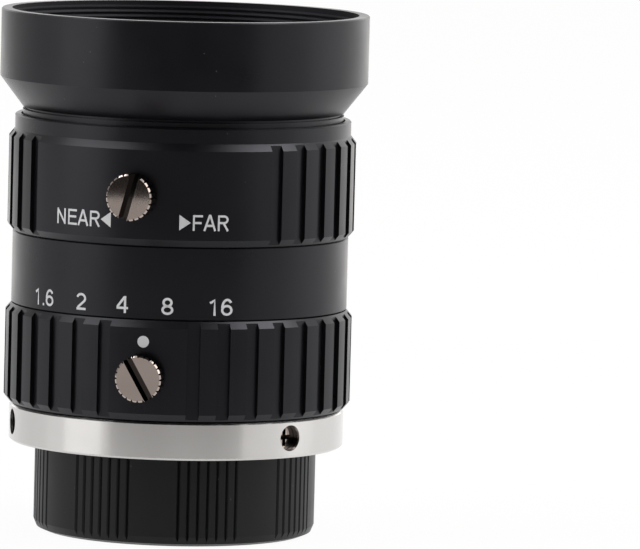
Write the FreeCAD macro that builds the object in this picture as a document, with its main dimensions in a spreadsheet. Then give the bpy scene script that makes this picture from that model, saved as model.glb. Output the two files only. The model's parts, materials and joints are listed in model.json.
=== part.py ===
import FreeCAD, Part
import math
import os
import re
import Sketcher
from FreeCAD import Vector

# A fixed focal length lens for machine vision cameras, with a C-mount thread at its rear.
# It stands on its rear cap. The optical axis is +Z, towards the object that is looked at.
# The origin is the middle of the cap's flat underside, and all lengths are in millimetres.
# Angles about the axis start at -Y and grow towards +X.

doc = FreeCAD.newDocument("VisionLens")
sheet = doc.addObject("Spreadsheet::Sheet", "Sizes")

SIZES = (
    # Clearances and the small edge bevel that several pieces share
    ("seam", 0.05),
    ("running_gap", 0.1),
    ("fit_gap", 0.02),
    ("edge_break", 0.12),
    # Mount ring, its thread and its set screws
    ("mount_thread", 25.4),
    ("mount_thread_length", 4.0),
    ("mount_thread_wall", 1.3),
    ("mount_height", 3.75),
    ("mount_bevel", 0.2),
    ("mount_web", 0.8),
    ("mount_rim", 2.45),
    ("screw_count", 3),
    ("screw_angle", 42.5),
    ("screw_offset", 0.125),
    ("screw_diameter", 2.5),
    ("screw_hole_gap", 0.05),
    ("screw_sink", 0.95),
    ("screw_recess_width", 0.45),
    ("screw_recess_depth", 0.7),
    ("screw_recess_rim", 0.37),
    # Rear cap
    ("cap_wall", 1.45),
    ("cap_height", 9.0),
    ("cap_floor", 1.6),
    ("cap_edge", 1.0),
    ("cap_panels", 8),
    ("cap_panel_angle", -8.8),
    ("flutes_per_group", 7),
    ("flute_pitch_angle", 4.0),
    ("flute_width", 0.8),
    ("flute_depth", 0.22),
    # Sliding tube, from its stem in the mount to the iris chamber
    ("stem_step", 2.1),
    ("stem_wall", 2.4),
    ("stem_length", 4.6),
    ("stem_clearance", 0.34),
    ("tube_wall", 1.1),
    ("shelf_thickness", 1.1),
    ("travel_in", 0.26),
    ("travel_out", 0.76),
    # Main barrel: walls between the tube's bore and its outer faces
    ("spigot_wall", 1.1),
    ("iris_sleeve_wall", 2.25),
    ("band_wall", 3.6),
    ("band_height", 7.3),
    ("focus_sleeve_wall", 2.0),
    ("retainer_thread_wall", 1.2),
    ("retainer_height", 1.05),
    ("window_margin_angle", 5.0),
    # Grip of both rings
    ("grip_rise", 0.55),
    ("grip_bevel", 0.58),
    ("grip_bevel_height", 0.7),
    ("groove_width", 1.3),
    ("groove_depth", 0.43),
    ("groove_pitch_angle", 10.0),
    # Iris ring
    ("ring_gap", 0.15),
    ("iris_ring_height", 10.0),
    ("iris_grooves", 34),
    ("iris_first_groove_angle", 5.2),
    # Focus ring
    ("focus_ring_height", 11.75),
    ("focus_grooves", 28),
    ("focus_first_groove_angle", 32.7),
    ("shoulder_height", 1.5),
    ("shoulder_wall", 0.6),
    ("sleeve_drop", 3.65),
    ("helicoid_gap", 0.15),
    # Front barrel and hood
    ("neck_height", 0.75),
    ("undercut_height", 0.25),
    ("undercut_depth", 0.35),
    ("skirt_clearance", 0.5),
    ("hood_foot_wall", 0.7),
    ("hood_flare", 2.35),
    ("cone_height", 3.05),
    ("hood_height", 6.85),
    ("hood_depth", 6.15),
    ("hood_wall", 1.1),
    ("filter_thread_length", 4.3),
    ("filter_thread_step", 0.3),
    ("front_ring_height", 1.75),
    ("front_ring_lip", 0.5),
    ("front_ring_overlap", 0.8),
    # Key screw of the sliding tube
    ("key_angle", 150.0),
    ("key_height", 3.2),
    ("key_diameter", 1.8),
    # Front cell
    ("cell_wall", 2.6),
    ("cell_seat_width", 1.0),
    ("cell_lip", 1.2),
    # Glass
    ("front_glass_wall", 3.2),
    ("front_glass_recess", 4.75),
    ("front_glass_height", 6.9),
    ("front_glass_centre", 1.6),
    ("front_curve", 24.0),
    ("front_rear_curve", 10.0),
    ("glass_web", 0.6),
    ("glass_web_width", 3.0),
    ("second_edge", 3.5),
    ("second_centre", 1.0),
    ("second_curve", 14.0),
    ("third_edge", 1.95),
    ("third_curve", 18.0),
    ("fourth_edge", 0.85),
    ("fourth_curve", 16.0),
    ("fifth_edge", 1.3),
    ("fifth_curve", 20.0),
    ("spacer_wall", 1.0),
    ("rear_ring_height", 1.3),
    ("rear_ring_wall", 1.3),
    # Iris diaphragm
    ("iris_lift", 5.05),
    ("blade_count", 5),
    ("blade_thickness", 0.08),
    ("blade_pitch", 0.12),
    ("blade_width", 3.2),
    ("blade_inset", 1.3),
    ("blade_start_angle", 24.0),
    ("blade_reach_angle", 112.0),
    ("blade_swing_angle", 24.8),
    ("blade_boss", 0.85),
    ("pivot_inset", 3.6),
    ("pivot_pin", 0.8),
    ("pivot_depth", 0.7),
    ("drive_lag_angle", 20.0),
    ("drive_pin", 0.7),
    ("open_angle", 41.3),
    ("closed_angle", 26.4),
    ("throat_inset", 2.4),
    ("cam_thickness", 1.0),
    ("cam_inset", 1.6),
    ("cam_gap", 0.15),
    ("notch_depth", 1.15),
    ("notch_floor_gap", 0.25),
    ("peg_diameter", 1.2),
    ("peg_angle", 160.0),
    ("peg_lift", 0.25),
    ("peg_seat", 0.75),
    # Locking thumbscrews
    ("knob_diameter", 4.65),
    ("knob_height", 2.1),
    ("knob_lift", 0.2),
    ("knob_bevel", 0.15),
    ("knob_teeth", 24),
    ("knob_tooth_depth", 0.24),
    ("knob_tooth_width", 0.5),
    ("knob_slot_width", 0.9),
    ("knob_slot_depth", 0.95),
    ("knob_shank", 1.9),
    ("iris_knob_angle", -11.3),
    ("iris_knob_height", 4.4),
    ("iris_knob_lean_angle", 30.0),
    ("focus_knob_angle", -15.3),
    ("focus_knob_height", 4.95),
    ("focus_knob_lean_angle", -15.0),
)

for row, (alias, number) in enumerate(SIZES, start=1):
    sheet.set(f"A{row}", alias)
    sheet.set(f"B{row}", str(number))
    sheet.setAlias(f"B{row}", alias)
doc.recompute()

NAMES = {alias for alias, number in SIZES}


def bound(formula):
    """A formula in the names of the sizes, with each name led to its cell."""
    return re.sub(r"[a-z_]+", lambda word: "Sizes." + word[0] if word[0] in NAMES else word[0], formula)


def value(formula):
    """What a formula in the names of the sizes comes to."""
    return float(sheet.evalExpression(bound(formula)))


# Heights of the faces where pieces meet, from the cap's underside up to the rim of the hood
FLANGE = "(cap_height + seam)"
THREAD_END = f"({FLANGE} - mount_thread_length)"
WEB_TOP = f"({FLANGE} + mount_web)"
SCREW_MIDDLE = f"({FLANGE} + mount_height / 2 + screw_offset)"
MOUNT_TOP = f"({FLANGE} + mount_height)"
IRIS_LOW = f"({MOUNT_TOP} + ring_gap)"
IRIS_TOP = f"({IRIS_LOW} + iris_ring_height)"
BAND_LOW = f"({IRIS_TOP} + seam)"
BAND_TOP = f"({BAND_LOW} + band_height)"
FOCUS_LOW = f"({BAND_TOP} + seam)"
FOCUS_TOP = f"({FOCUS_LOW} + focus_ring_height)"
SHOULDER_LOW = f"({FOCUS_TOP} - shoulder_height)"
SLEEVE_TOP = f"({SHOULDER_LOW} - sleeve_drop)"
RETAINER_TOP = f"({SLEEVE_TOP} + retainer_height)"
SKIRT_LOW = f"({RETAINER_TOP} + skirt_clearance)"
CONE_LOW = f"({FOCUS_TOP} + neck_height)"
HOOD_LOW = f"({CONE_LOW} - undercut_height)"
CONE_TOP = f"({CONE_LOW} + cone_height)"
RIM = f"({CONE_TOP} + hood_height)"
FILTER_THREAD_LOW = f"({RIM} - filter_thread_length)"
HOOD_FLOOR = f"({RIM} - hood_depth)"

# Heights inside the sliding tube
STEM_TOP = f"({WEB_TOP} + seam + travel_in + stem_clearance)"
STEM_LOW = f"({STEM_TOP} - stem_length)"
CHAMBER_LOW = f"({IRIS_LOW} + iris_lift)"
SHELF_LOW = f"({CHAMBER_LOW} - shelf_thickness)"
BLADES_LOW = f"({CHAMBER_LOW} + seam)"
CAM_LOW = f"({BLADES_LOW} + blade_count * blade_pitch + running_gap)"
CAM_TOP = f"({CAM_LOW} + cam_thickness)"
CELL_LOW = f"({CAM_TOP} + running_gap)"
CELL_SEAT = f"({CELL_LOW} + cell_lip)"
FRONT_VERTEX = f"({RIM} - front_glass_recess)"
GLASS_SEAT = f"({FRONT_VERTEX} - front_glass_height)"
TUBE_TOP = f"({GLASS_SEAT} - glass_web)"
PEG_MIDDLE = f"(({CAM_LOW} + {CAM_TOP}) / 2 + peg_lift)"
KEY_MIDDLE = f"({BAND_TOP} + key_height)"

# Radii, from the mount thread outwards and inwards, each a wall or a clearance away from its neighbour
THREAD = "(mount_thread / 2)"
CAP_BORE = f"({THREAD} + running_gap)"
CAP = f"({CAP_BORE} + cap_wall)"
STEM_BORE = f"({THREAD} - mount_thread_wall)"
STEM = f"({STEM_BORE} - 2 * running_gap)"
TUBE = f"({STEM} + stem_step)"
CHAMBER = f"({TUBE} - tube_wall)"
CELL = f"({CHAMBER} - running_gap)"
CELL_BORE = f"({CELL} - cell_wall)"
CELL_THROAT = f"({CELL_BORE} - cell_seat_width)"
CELL_GLASS = f"({CELL_BORE} - running_gap)"
REAR_BORE = f"({STEM} - stem_wall)"
REAR_GLASS = f"({REAR_BORE} - running_gap)"
PIVOTS = f"({CHAMBER} - pivot_inset)"
TUBE_BORE = f"({TUBE} + running_gap)"
SPIGOT = f"({TUBE_BORE} + spigot_wall)"
MOUNT = f"({SPIGOT} + mount_rim)"
IRIS_SLEEVE = f"({TUBE_BORE} + iris_sleeve_wall)"
IRIS_BORE = f"({IRIS_SLEEVE} + running_gap)"
BAND = f"({TUBE_BORE} + band_wall)"
FOCUS_SLEEVE = f"({TUBE_BORE} + focus_sleeve_wall)"
FOCUS_BORE = f"({FOCUS_SLEEVE} + running_gap)"
RETAINER_THREAD = f"({TUBE_BORE} + retainer_thread_wall)"
GRIP = f"({BAND} + grip_rise)"
GROOVE_FLOOR = f"({GRIP} - groove_depth)"
HELICOID_BORE = f"({BAND} - shoulder_wall)"
NECK = f"({HELICOID_BORE} - helicoid_gap)"
HOOD_FOOT = f"({NECK} - undercut_depth)"
NOSE = f"({HOOD_FOOT} - hood_foot_wall)"
HOOD = f"({NECK} + hood_flare)"
FILTER_THREAD = f"({HOOD} - hood_wall)"
HOOD_BORE = f"({FILTER_THREAD} - filter_thread_step)"
FRONT_GLASS = f"({NOSE} - front_glass_wall)"

# The drive peg: how thick the room for it is, and how far in its end reaches
PEG_ROOM = "(peg_diameter / 2 + running_gap)"
PEG_END = f"({CHAMBER} - running_gap - notch_depth + notch_floor_gap)"

# How far each blade is swung from closed when the iris stands wide open, as modelled
IRIS_TURN = "(open_angle + closed_angle)"
REST_SWING = f"(blade_swing_angle * open_angle / {IRIS_TURN})"


def sag(curve, radius):
    """How far a sphere falls away from its crown at a radius."""
    return f"({curve} - sqrt({curve} ^ 2 - {radius} ^ 2))"


kept = []


def keep(part, label):
    """Marks an object as a finished piece and gives it the name of its file."""
    part.Label = label
    kept.append(part)
    return part


def bind(part, **formulas):
    """Binds properties of an object to formulas in the names of the sizes."""
    for name, formula in formulas.items():
        part.setExpression(name, bound(formula))
    return part


def place(part, x="0", y="0", z="0", turn="0", pitch="0"):
    """Binds an object's place, and its turn about the axis and its pitch about Y."""
    formula = f"placement(vector({x}; {y}; {z}); rotation({turn}; {pitch}; 0))"
    part.setExpression("Placement", bound(formula))
    return part


def place_radially(part, angle, height, reach, lean="0", x="0", y="0"):
    """Turns an object's own Z axis outwards at an angle about the lens, and leans it about that axis."""
    point = f"vector(({reach}) * sin({angle}); -({reach}) * cos({angle}); {height})"
    outwards = f"placement({point}; rotation({angle}; 0; 90))"
    leaning = f"placement(vector(0; 0; 0); rotation({lean}; 0; 0))"
    aside = f"placement(vector({x}; {y}; 0); rotation(0; 0; 0))"
    part.setExpression("Placement", bound(f"{outwards} * {leaning} * {aside}"))
    return part


def origin_feature(body, role):
    """The plane or axis of a body's own origin that has the given role."""
    return next(feature for feature in body.Origin.OriginFeatures if feature.Role == role)


def sketch_on(body, role, corners):
    """A closed sketch of straight lines on an origin plane, with each corner held by two formulas."""
    sketch = body.newObject("Sketcher::SketchObject", body.Name + "_sketch")
    sketch.AttachmentSupport = [(origin_feature(body, role), "")]
    sketch.MapMode = "FlatFace"
    points = [Vector(value(across), value(up), 0) for across, up in corners]
    count = len(points)
    lines = [Part.LineSegment(points[i], points[(i + 1) % count]) for i in range(count)]
    sketch.addGeometry(lines, False)
    for i in range(count):
        sketch.addConstraint(Sketcher.Constraint("Coincident", i, 2, (i + 1) % count, 1))
    for i, corner in enumerate(corners):
        for kind, axis, formula in (("DistanceX", -2, corner[0]), ("DistanceY", -1, corner[1])):
            if formula == "0":
                sketch.addConstraint(Sketcher.Constraint("PointOnObject", i, 1, axis))
                continue
            number = sketch.addConstraint(Sketcher.Constraint(kind, -1, 1, i, 1, value(formula)))
            sketch.setExpression(f"Constraints[{number}]", bound(formula))
    return sketch


def turned(name, corners):
    """A body turned about the lens axis from a closed outline of (radius, height) corners."""
    body = doc.addObject("PartDesign::Body", name)
    sketch = sketch_on(body, "XZ_Plane", corners)
    turning = body.newObject("PartDesign::Revolution", name + "_turning")
    turning.Profile = sketch
    turning.ReferenceAxis = (sketch, ["V_Axis"])
    turning.Angle = 360
    doc.recompute()
    return body


def cut_through(body, role, corners):
    """Cuts an outline through the whole of a body, both ways from an origin plane."""
    before = body.Shape.Volume
    pocket = body.newObject("PartDesign::Pocket", body.Name + "_cut")
    pocket.Profile = sketch_on(body, role, corners)
    pocket.Type = "ThroughAll"
    pocket.Midplane = True
    doc.recompute()
    if body.Shape.Volume >= before:
        raise ValueError(f"{body.Label}: a cut removed nothing")
    return pocket


def repeat_about_axis(body, feature, count, angle):
    """Repeats a cut about the lens axis, with the last copy at the given angle."""
    pattern = body.newObject("PartDesign::PolarPattern", body.Name + "_pattern")
    pattern.Originals = [feature]
    pattern.Axis = (origin_feature(body, "Z_Axis"), [""])
    bind(pattern, Angle=angle, Occurrences=count)
    body.Tip = pattern
    doc.recompute()
    return pattern


def cylinder(name, radius, low, high):
    """A cylinder about the lens axis between two heights."""
    part = bind(doc.addObject("Part::Cylinder", name), Radius=radius, Height=f"{high} - ({low})")
    return place(part, z=low)


def sector(name, inner, outer, low, high, start, span):
    """A stretch of a thick ring about the lens axis, from one angle over a span."""
    wedge = bind(cylinder(name + "_wedge", outer, low, high), Angle=span)
    place(wedge, z=low, turn=f"{start} - 90")
    core = cylinder(name + "_core", inner, low, high)
    return cut(name, wedge, core)


def cut(name, base, tool):
    """One object less another."""
    part = doc.addObject("Part::Cut", name)
    part.Base = base
    part.Tool = tool
    return part


def common(name, base, tool):
    """What two objects share."""
    part = doc.addObject("Part::Common", name)
    part.Base = base
    part.Tool = tool
    return part


def joined(name, *pieces):
    """Objects joined into one solid."""
    part = doc.addObject("Part::MultiFuse", name)
    part.Shapes = list(pieces)
    return part


def radial_pin(name, radius, angle, height, start, end):
    """A cylinder that points outwards from one distance off the lens axis to another."""
    pin = bind(doc.addObject("Part::Cylinder", name), Radius=radius, Height=f"{end} - ({start})")
    return place_radially(pin, angle, height, start)


def radial_hole(name, base, radius, angle, height, start, end):
    """An object with a round hole drilled outwards between two distances off the lens axis."""
    return cut(name, base, radial_pin(name + "_drill", radius, angle, height, start, end))


def rear_cap():
    """The screw cap over the mount thread, with groups of fine flutes between smooth panels."""
    bevel = "cap_edge * (1 - sqrt(1 / 2))"
    body = turned("CapBody", [
        ("0", "0"), (f"{CAP} - cap_edge", "0"), (f"{CAP} - {bevel}", bevel), (CAP, "cap_edge"),
        (CAP, "cap_height"), (CAP_BORE, "cap_height"), (CAP_BORE, "cap_floor"), ("0", "cap_floor"),
    ])
    half = "flute_width / 2"
    outside = f"-({CAP} + flute_depth)"
    flute = cut_through(body, "XY_Plane", [
        ("-" + half, outside), (half, outside), ("0", f"-({CAP} - flute_depth)"),
    ])
    group = body.newObject("PartDesign::MultiTransform", "CapBody_flutes")
    group.Originals = [flute]
    span = "(flutes_per_group - 1) * flute_pitch_angle"
    row = polar_step(body, "flutes_per_group", span)
    all_round = polar_step(body, "cap_panels", "360 - 360 / cap_panels")
    group.Transformations = [row, all_round]
    body.Tip = group
    place(body, turn=f"cap_panel_angle + 180 / cap_panels - {span} / 2")
    return keep(body, "rear_cap")


def polar_step(body, count, angle):
    """One of the steps of a repeat in groups: copies about the lens axis up to an angle."""
    step = body.newObject("PartDesign::PolarPattern", body.Name + "_step")
    step.Axis = (origin_feature(body, "Z_Axis"), [""])
    return bind(step, Angle=angle, Occurrences=count)


def screw_angle(number):
    """The angle of one of the set screws."""
    return f"(screw_angle + {number} * 360 / screw_count)"


def mount_ring():
    """The bright ring that carries the mount thread and clamps the barrel's spigot with its set screws."""
    pocket = f"({SPIGOT} + seam)"
    part = turned("MountBody", [
        (STEM_BORE, THREAD_END), (f"{THREAD} - 2 * mount_bevel", THREAD_END),
        (THREAD, f"{THREAD_END} + 2 * mount_bevel"), (THREAD, FLANGE),
        (f"{MOUNT} - mount_bevel", FLANGE), (MOUNT, f"{FLANGE} + mount_bevel"),
        (MOUNT, f"{MOUNT_TOP} - mount_bevel"), (f"{MOUNT} - mount_bevel", MOUNT_TOP),
        (pocket, MOUNT_TOP), (pocket, WEB_TOP), (STEM_BORE, WEB_TOP),
    ])
    for number in range(int(value("screw_count"))):
        part = radial_hole(f"MountHole{number}", part, "screw_diameter / 2 + screw_hole_gap",
                           screw_angle(number), SCREW_MIDDLE, SPIGOT, f"({MOUNT} + seam)")
    return keep(part, "mount_ring")


def set_screws():
    """The headless screws of the mount ring, each with a cross recess, down on the spigot."""
    head = f"({MOUNT} - screw_sink)"
    floor = f"({head} - screw_recess_depth)"
    arm_length = "(screw_diameter - 2 * screw_recess_rim)"
    across = "-screw_recess_width / 2"
    screws = []
    for number in range(int(value("screw_count"))):
        angle = screw_angle(number)
        screw = radial_pin(f"Screw{number}", "screw_diameter / 2", angle, SCREW_MIDDLE, SPIGOT, head)
        for arm, lean in enumerate(("0", "90")):
            slot = doc.addObject("Part::Box", f"Screw{number}_slot{arm}")
            bind(slot, Length=arm_length, Width="screw_recess_width", Height="screw_recess_depth + seam")
            place_radially(slot, angle, SCREW_MIDDLE, floor, lean, f"-{arm_length} / 2", across)
            screw = cut(f"Screw{number}_cut{arm}", screw, slot)
        screws.append(screw)
    group = doc.addObject("Part::Compound", "SetScrews")
    group.Links = screws
    return keep(group, "mount_set_screws")


def peg_window(name, base, inner, outer, low, high):
    """An object with the window through which the drive peg swings."""
    start = "peg_angle - open_angle - window_margin_angle"
    span = f"{IRIS_TURN} + 2 * window_margin_angle"
    return cut(name, base, sector(name + "_window", inner, outer, low, high, start, span))


def main_barrel():
    """The fixed black barrel: spigot, sleeve of the iris ring, scale band and sleeve of the focus ring."""
    foot = f"({WEB_TOP} + seam)"
    body = turned("BarrelBody", [
        (TUBE_BORE, foot), (SPIGOT, foot), (SPIGOT, MOUNT_TOP), (IRIS_SLEEVE, MOUNT_TOP),
        (IRIS_SLEEVE, BAND_LOW), (f"{BAND} - edge_break", BAND_LOW), (BAND, f"{BAND_LOW} + edge_break"),
        (BAND, f"{BAND_TOP} - edge_break"), (f"{BAND} - edge_break", BAND_TOP), (FOCUS_SLEEVE, BAND_TOP),
        (FOCUS_SLEEVE, SLEEVE_TOP), (RETAINER_THREAD, SLEEVE_TOP), (RETAINER_THREAD, RETAINER_TOP),
        (TUBE_BORE, RETAINER_TOP),
    ])
    part = peg_window("BarrelWindowed", body, TUBE, IRIS_BORE,
                      f"{PEG_MIDDLE} - {PEG_ROOM}", f"{PEG_MIDDLE} + {PEG_ROOM}")
    part = radial_hole("BarrelKeyed", part, "key_diameter / 2 + fit_gap", "key_angle", KEY_MIDDLE,
                       TUBE, FOCUS_BORE)
    return keep(part, "main_barrel")


def grip_ring(name, corners, groove_count, first_groove):
    """A knurled ring: a turned section whose grip is cut by grooves that run out through both bevels."""
    body = turned(name, corners)
    half = "groove_width / 2"
    outside = f"-({GRIP} + groove_depth)"
    groove = cut_through(body, "XY_Plane", [
        ("-" + half, f"-{GROOVE_FLOOR}"), (half, f"-{GROOVE_FLOOR}"), (half, outside), ("-" + half, outside),
    ])
    repeat_about_axis(body, groove, groove_count, f"({groove_count} - 1) * groove_pitch_angle")
    place(body, turn=first_groove)
    return body


def iris_ring():
    """The ring that sets the iris, with a smooth panel for its lock and its index dot."""
    body = grip_ring("IrisRingBody", [
        (IRIS_BORE, IRIS_TOP), (IRIS_BORE, IRIS_LOW),
        (f"{GRIP} - grip_bevel", IRIS_LOW), (GRIP, f"{IRIS_LOW} + grip_bevel_height"),
        (GRIP, f"{IRIS_TOP} - grip_bevel_height"), (f"{GRIP} - grip_bevel", IRIS_TOP),
    ], "iris_grooves", "iris_first_groove_angle")
    part = radial_hole("IrisRingTapped", body, "knob_shank / 2 + seam", "iris_knob_angle",
                       f"{IRIS_LOW} + iris_knob_height", IRIS_SLEEVE, f"({GRIP} + seam)")
    part = radial_hole("IrisRingPegged", part, "peg_diameter / 2 + fit_gap", "peg_angle", PEG_MIDDLE,
                       IRIS_SLEEVE, f"({IRIS_BORE} + peg_seat)")
    return keep(part, "iris_ring")


def iris_peg():
    """The peg that carries the iris ring's turn through both barrels into the cam plate's notch."""
    peg = radial_pin("Peg", "peg_diameter / 2", "peg_angle", PEG_MIDDLE, PEG_END,
                     f"({IRIS_BORE} + peg_seat - fit_gap)")
    return keep(peg, "iris_drive_peg")


def focus_ring():
    """The ring that turns the focusing thread, held between the scale band and its retaining ring."""
    step = f"({SLEEVE_TOP} - running_gap)"
    body = grip_ring("FocusRingBody", [
        (HELICOID_BORE, FOCUS_TOP), (HELICOID_BORE, step), (FOCUS_BORE, step), (FOCUS_BORE, FOCUS_LOW),
        (f"{GRIP} - grip_bevel", FOCUS_LOW), (GRIP, f"{FOCUS_LOW} + grip_bevel_height"),
        (GRIP, f"{SHOULDER_LOW} - grip_bevel_height"), (BAND, SHOULDER_LOW),
        (BAND, f"{FOCUS_TOP} - edge_break"), (f"{BAND} - edge_break", FOCUS_TOP),
    ], "focus_grooves", "focus_first_groove_angle")
    part = radial_hole("FocusRingTapped", body, "knob_shank / 2 + seam", "focus_knob_angle",
                       f"{FOCUS_LOW} + focus_knob_height", FOCUS_SLEEVE, f"({GRIP} + seam)")
    return keep(part, "focus_ring")


def focus_retainer():
    """The threaded ring on the end of the barrel that keeps the focus ring from lifting off."""
    inner = f"({RETAINER_THREAD} + fit_gap)"
    outer = f"({HELICOID_BORE} - running_gap)"
    body = turned("RetainerBody", [
        (inner, SLEEVE_TOP), (outer, SLEEVE_TOP), (outer, RETAINER_TOP), (inner, RETAINER_TOP),
    ])
    return keep(body, "focus_retainer")


def focus_key():
    """The headless screw whose end keeps the sliding tube from turning."""
    key = radial_pin("Key", "key_diameter / 2", "key_angle", KEY_MIDDLE,
                     f"({CELL} + 2 * running_gap)", f"({FOCUS_SLEEVE} - seam)")
    return keep(key, "focus_key_screw")


def thumbscrew(name, sleeve, angle, height, lean, label):
    """A knurled locking screw with a coin slot, its end just off the sleeve that it locks on."""
    radius = "(knob_diameter / 2)"
    tip = f"({sleeve} + running_gap)"
    base = f"({GRIP} + knob_lift - {tip})"
    top = f"({base} + knob_height)"
    body = turned(name, [
        ("0", "0"), ("knob_shank / 2", "0"), ("knob_shank / 2", base), (radius, base),
        (radius, f"{top} - knob_bevel"), (f"{radius} - knob_bevel", top), ("0", top),
    ])
    half = "knob_tooth_width / 2"
    outside = f"-({radius} + knob_tooth_depth)"
    tooth = cut_through(body, "XY_Plane", [
        ("-" + half, outside), (half, outside), ("0", f"-({radius} - knob_tooth_depth)"),
    ])
    repeat_about_axis(body, tooth, "knob_teeth", "360 - 360 / knob_teeth")
    half_slot = "knob_slot_width / 2"
    floor = f"{top} - knob_slot_depth"
    above = f"{top} + seam"
    cut_through(body, "XZ_Plane", [
        ("-" + half_slot, floor), (half_slot, floor), (half_slot, above), ("-" + half_slot, above),
    ])
    place_radially(body, angle, height, tip, lean)
    return keep(body, label)


def front_barrel():
    """The barrel on the focusing thread, which seats the sliding tube, the front glass and the hood."""
    glass_bore = f"({FRONT_GLASS} + seam)"
    tube_bore = f"({TUBE} + fit_gap)"
    web_bore = f"({FRONT_GLASS} - glass_web_width)"
    body = turned("FrontBarrelBody", [
        (tube_bore, SKIRT_LOW), (NECK, SKIRT_LOW), (NECK, HOOD_LOW), (NOSE, HOOD_LOW), (NOSE, HOOD_FLOOR),
        (glass_bore, HOOD_FLOOR), (glass_bore, GLASS_SEAT), (web_bore, GLASS_SEAT),
        (web_bore, TUBE_TOP), (tube_bore, TUBE_TOP),
    ])
    return keep(body, "front_barrel")


def front_hood():
    """The flared hood with the filter thread in its mouth and an undercut at its foot."""
    seat = f"({NOSE} + fit_gap)"
    body = turned("HoodBody", [
        (seat, HOOD_LOW), (HOOD_FOOT, HOOD_LOW), (HOOD_FOOT, CONE_LOW), (NECK, CONE_LOW), (HOOD, CONE_TOP),
        (HOOD, f"{RIM} - edge_break"), (f"{HOOD} - edge_break", RIM), (FILTER_THREAD, RIM),
        (FILTER_THREAD, FILTER_THREAD_LOW),
        (HOOD_BORE, FILTER_THREAD_LOW), (HOOD_BORE, HOOD_FLOOR), (seat, HOOD_FLOOR),
    ])
    return keep(body, "front_hood")


def front_ring():
    """The coned ring in the hood that holds the front glass on its seat."""
    outer = f"({HOOD_BORE} - running_gap)"
    inner = f"({FRONT_GLASS} - front_ring_overlap)"
    low = f"({FRONT_VERTEX} - {sag('front_curve', FRONT_GLASS)} + front_ring_lip)"
    top = f"({HOOD_FLOOR} + front_ring_height)"
    body = turned("FrontRingBody", [
        (inner, low), (FRONT_GLASS, low), (FRONT_GLASS, HOOD_FLOOR), (outer, HOOD_FLOOR), (outer, top),
        (f"{outer} - front_ring_lip", top), (inner, f"{HOOD_FLOOR} + front_ring_lip"),
    ])
    return keep(body, "front_retaining_ring")


def lens_tube():
    """The tube that slides in the main barrel: the rear group in its stem, the iris chamber over a shelf."""
    throat = f"({PIVOTS} - throat_inset)"
    body = turned("TubeBody", [
        (REAR_BORE, STEM_LOW), (STEM, STEM_LOW), (STEM, STEM_TOP), (TUBE, STEM_TOP), (TUBE, TUBE_TOP),
        (CHAMBER, TUBE_TOP), (CHAMBER, CHAMBER_LOW), (throat, CHAMBER_LOW), (throat, SHELF_LOW),
        (REAR_BORE, SHELF_LOW),
    ])
    part = peg_window("TubeWindowed", body, f"({CHAMBER} - seam)", TUBE_BORE,
                      f"{PEG_MIDDLE} - {PEG_ROOM} - travel_out", f"{PEG_MIDDLE} + {PEG_ROOM} + travel_in")
    slot = doc.addObject("Part::Box", "KeySlot")
    half = "(key_diameter / 2 + running_gap)"
    low = f"({KEY_MIDDLE} - {half} - travel_out)"
    bind(slot, Length=f"2 * {half}", Width=f"2 * {half} + travel_out + travel_in",
         Height=f"{TUBE_BORE} - {CELL}")
    place_radially(slot, "key_angle", low, CELL, x=f"-{half}")
    part = cut("TubeSlotted", part, slot)
    pit_floor = f"({CHAMBER_LOW} - pivot_depth)"
    for number in range(int(value("blade_count"))):
        around = f"({number} * 360 / blade_count)"
        pit = cylinder(f"PivotPit{number}", "pivot_pin / 2 + seam", pit_floor, BLADES_LOW)
        place(pit, f"{PIVOTS} * cos{around}", f"{PIVOTS} * sin{around}", pit_floor)
        part = cut(f"TubePit{number}", part, pit)
    return keep(part, "lens_tube")


def front_cell():
    """The cell inside the tube for the second and third glasses, necked in below to clear the drive peg."""
    top = f"({TUBE_TOP} - seam)"
    foot = f"({PEG_END} - running_gap)"
    shoulder = f"({PEG_MIDDLE} + {PEG_ROOM} + travel_in)"
    body = turned("CellBody", [
        (CELL_THROAT, CELL_LOW), (foot, CELL_LOW), (foot, shoulder), (CELL, shoulder), (CELL, top),
        (CELL_BORE, top), (CELL_BORE, CELL_SEAT), (CELL_THROAT, CELL_SEAT),
    ])
    return keep(body, "front_cell")


def ball(name, radius, height):
    """A sphere on the lens axis, lying on its side so that no pole meets the axis."""
    return place(bind(doc.addObject("Part::Sphere", name), Radius=radius), z=height, pitch="90")


def glass(label, radius, low, high, *faces):
    """A lens element: a disc between two heights whose curved faces come from spheres."""
    part = cylinder(label + "_blank", radius, low, high)
    for number, (make, curve, height) in enumerate(faces):
        sphere = ball(f"{label}_curve{number}", curve, height)
        part = make(f"{label}_ground{number}", part, sphere)
    return keep(part, label)


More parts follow.
